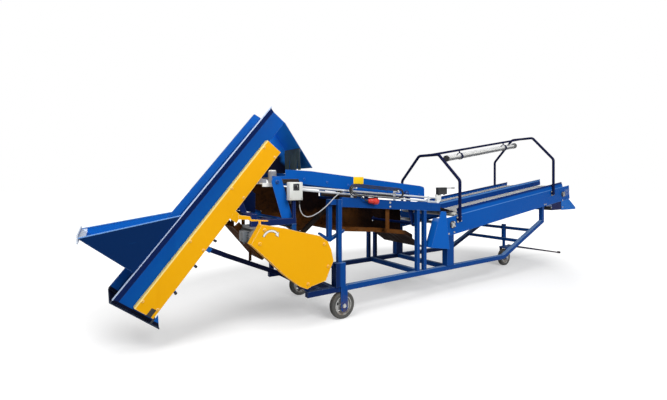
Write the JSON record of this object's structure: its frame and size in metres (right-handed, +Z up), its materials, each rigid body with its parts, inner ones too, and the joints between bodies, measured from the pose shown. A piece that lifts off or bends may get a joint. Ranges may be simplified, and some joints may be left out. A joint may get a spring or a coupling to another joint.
{
  "type": "potato sorter",
  "caption": "Towable potato sorter: hopper and cleated elevator feed a rocking sieve, then a sloping roller table under a lamp, on a wheeled frame",
  "frame": {"origin": "on the floor under the middle of the machine", "axes": "+X from the hopper to the drawbar, +Z up, -Y the side with the belt guard"},
  "size_m": [7.006, 1, 1.9699],
  "materials": {
    "frame_paint": "gloss blue paint",
    "blue_panel": "gloss blue paint on sheet",
    "dark_paint": "dark blue paint",
    "guard_paint": "gloss yellow paint",
    "soiled_steel": "soil stained sheet",
    "bare_steel": "bare steel",
    "cast_parts": "cast iron",
    "motor_paint": "grey machine paint",
    "roller_plastic": "pale plastic roller",
    "wheel_metal": "pale grey wheel centre",
    "wheel_rubber": "solid rubber tyre",
    "belt_rubber": "black rubber",
    "lamp_glass": "white lamp tube",
    "box_plastic": "light grey plastic",
    "black_plastic": "black plastic",
    "cable_black": "black cable sheath",
    "cable_grey": "grey cable sheath",
    "plug_red": "red plug body"
  },
  "bodies": {
    "frame": {"base_frame": "frame_paint", "tail_struts": "frame_paint", "front_legs": "frame_paint", "front_frame": "frame_paint", "rear_legs": "frame_paint", "sieve_beams": "frame_paint", "elevator_brace": "frame_paint", "steering_head": "frame_paint", "elevator_sides": "blue_panel", "hopper_floor": "blue_panel", "hopper_sides": "blue_panel", "hood": "blue_panel", "outlet_chute": "blue_panel", "table_sides": "blue_panel", "table_divider": "blue_panel", "end_chute": "blue_panel", "elevator_cross_plates": "dark_paint", "arches": "dark_paint", "elevator_guards": "guard_paint", "belt_guard": "guard_paint", "slides": "soiled_steel", "collecting_pan": "soiled_steel", "pan_wall": "soiled_steel", "bearing_units": "cast_parts", "drive_motor": "motor_paint", "gear_motors": "motor_paint", "table_rollers": "roller_plastic", "elevator_belt": "belt_rubber", "v_belt": "belt_rubber", "hood_curtain": "belt_rubber", "lamp_tube": "lamp_glass", "control_box": "box_plastic", "conduits": "box_plastic", "junction_box": "box_plastic", "cable_hank": "cable_black", "sag_cable": "cable_grey", "plug": "plug_red"},
    "wheel_near": {"wheel_hub_near": "wheel_metal", "tyre_near": "wheel_rubber"},
    "wheel_far": {"wheel_hub_far": "wheel_metal", "tyre_far": "wheel_rubber"},
    "steering": {"steering_fork": "frame_paint"},
    "wheel_swivel": {"swivel_hub": "wheel_metal", "swivel_tyre": "wheel_rubber"},
    "drawbar": {"drawbar": "frame_paint"},
    "elevator_head": {"head_drum": "bare_steel"},
    "elevator_tail": {"tail_drum": "bare_steel"},
    "table_head": {"table_head_shaft": "bare_steel"},
    "table_tail": {"table_tail_shaft": "bare_steel"},
    "crank": {"eccentric_shaft": "bare_steel", "drive_pulley": "cast_parts"},
    "con_rod": {"con_rod": "bare_steel"},
    "motor_pulley": {"motor_pulley": "bare_steel"},
    "sieve": {"sieve_sides": "blue_panel", "sieve_screen": "bare_steel", "sieve_crossbars": "bare_steel"},
    "rocker_front": {"rocker_front": "blue_panel"},
    "rocker_rear": {"rocker_rear": "blue_panel"},
    "knob": {"control_knob": "black_plastic"}
  },
  "joints": [
    {"name": "wheel_near_spin", "type": "hinge", "parent": "frame", "child": "wheel_near", "pos_m": [-1.5, -0.416, 0.125], "axis": [0, 1, 0], "continuous": true},
    {"name": "wheel_far_spin", "type": "hinge", "parent": "frame", "child": "wheel_far", "pos_m": [-1.5, 0.416, 0.125], "axis": [0, 1, 0], "continuous": true},
    {"name": "steering_swivel", "type": "hinge", "parent": "frame", "child": "steering", "pos_m": [1.775, 0, 0.5], "axis": [0, 0, 1], "range_deg": [-75, 75]},
    {"name": "wheel_swivel_spin", "type": "hinge", "parent": "steering", "child": "wheel_swivel", "pos_m": [1.775, 0, 0.125], "axis": [0, 1, 0], "continuous": true},
    {"name": "drawbar_lift", "type": "hinge", "parent": "steering", "child": "drawbar", "pos_m": [1.95, 0, 0.278], "axis": [0, -1, 0], "range_deg": [0, 34]},
    {"name": "elevator_head_spin", "type": "hinge", "parent": "frame", "child": "elevator_head", "pos_m": [-2.14172, 0, 1.51015], "axis": [0, 1, 0], "continuous": true},
    {"name": "elevator_tail_spin", "type": "hinge", "parent": "frame", "child": "elevator_tail", "pos_m": [-3.06082, 0, 0.36292], "axis": [0, 1, 0], "continuous": true},
    {"name": "table_head_spin", "type": "hinge", "parent": "frame", "child": "table_head", "pos_m": [2.60219, 0, 1.07849], "axis": [0, 1, 0], "continuous": true},
    {"name": "table_tail_spin", "type": "hinge", "parent": "frame", "child": "table_tail", "pos_m": [0.00477, 0, 0.77512], "axis": [0, 1, 0], "continuous": true},
    {"name": "crank_spin", "type": "hinge", "parent": "frame", "child": "crank", "pos_m": [-1.904, 0, 0.578], "axis": [0, 1, 0], "continuous": true},
    {"name": "con_rod_turn", "type": "hinge", "parent": "crank", "child": "con_rod", "pos_m": [-1.90719, 0, 0.58185], "axis": [0, 1, 0], "continuous": true},
    {"name": "motor_pulley_spin", "type": "hinge", "parent": "frame", "child": "motor_pulley", "pos_m": [-2.3, -0.46, 0.815], "axis": [0, 1, 0], "continuous": true},
    {"name": "sieve_shake", "type": "slide", "parent": "frame", "child": "sieve", "axis": [0.9562, 0, 0.2929], "range_m": [-0.005, 0.005]},
    {"name": "rocker_front_swing", "type": "hinge", "parent": "frame", "child": "rocker_front", "pos_m": [-2.024, 0, 0.925], "axis": [0, 1, 0], "range_deg": [-0.87, 0.87]},
    {"name": "rocker_rear_swing", "type": "hinge", "parent": "frame", "child": "rocker_rear", "pos_m": [-0.52, 0, 0.807], "axis": [0, 1, 0], "range_deg": [-0.87, 0.87]},
    {"name": "knob_turn", "type": "hinge", "parent": "frame", "child": "knob", "pos_m": [-1.987, -0.445, 1.215], "axis": [0, 1, 0], "range_deg": [-45, 45]}
  ],
  "couplings": [
    {"joint": "elevator_tail_spin", "follows": "elevator_head_spin", "ratio": 1},
    {"joint": "table_tail_spin", "follows": "table_head_spin", "ratio": 1},
    {"joint": "motor_pulley_spin", "follows": "crank_spin", "ratio": 4},
    {"joint": "con_rod_turn", "follows": "crank_spin", "ratio": -1},
    {"joint": "rocker_front_swing", "follows": "sieve_shake", "rad_per_m": 2.8713},
    {"joint": "rocker_rear_swing", "follows": "sieve_shake", "rad_per_m": 2.8713}
  ]
}
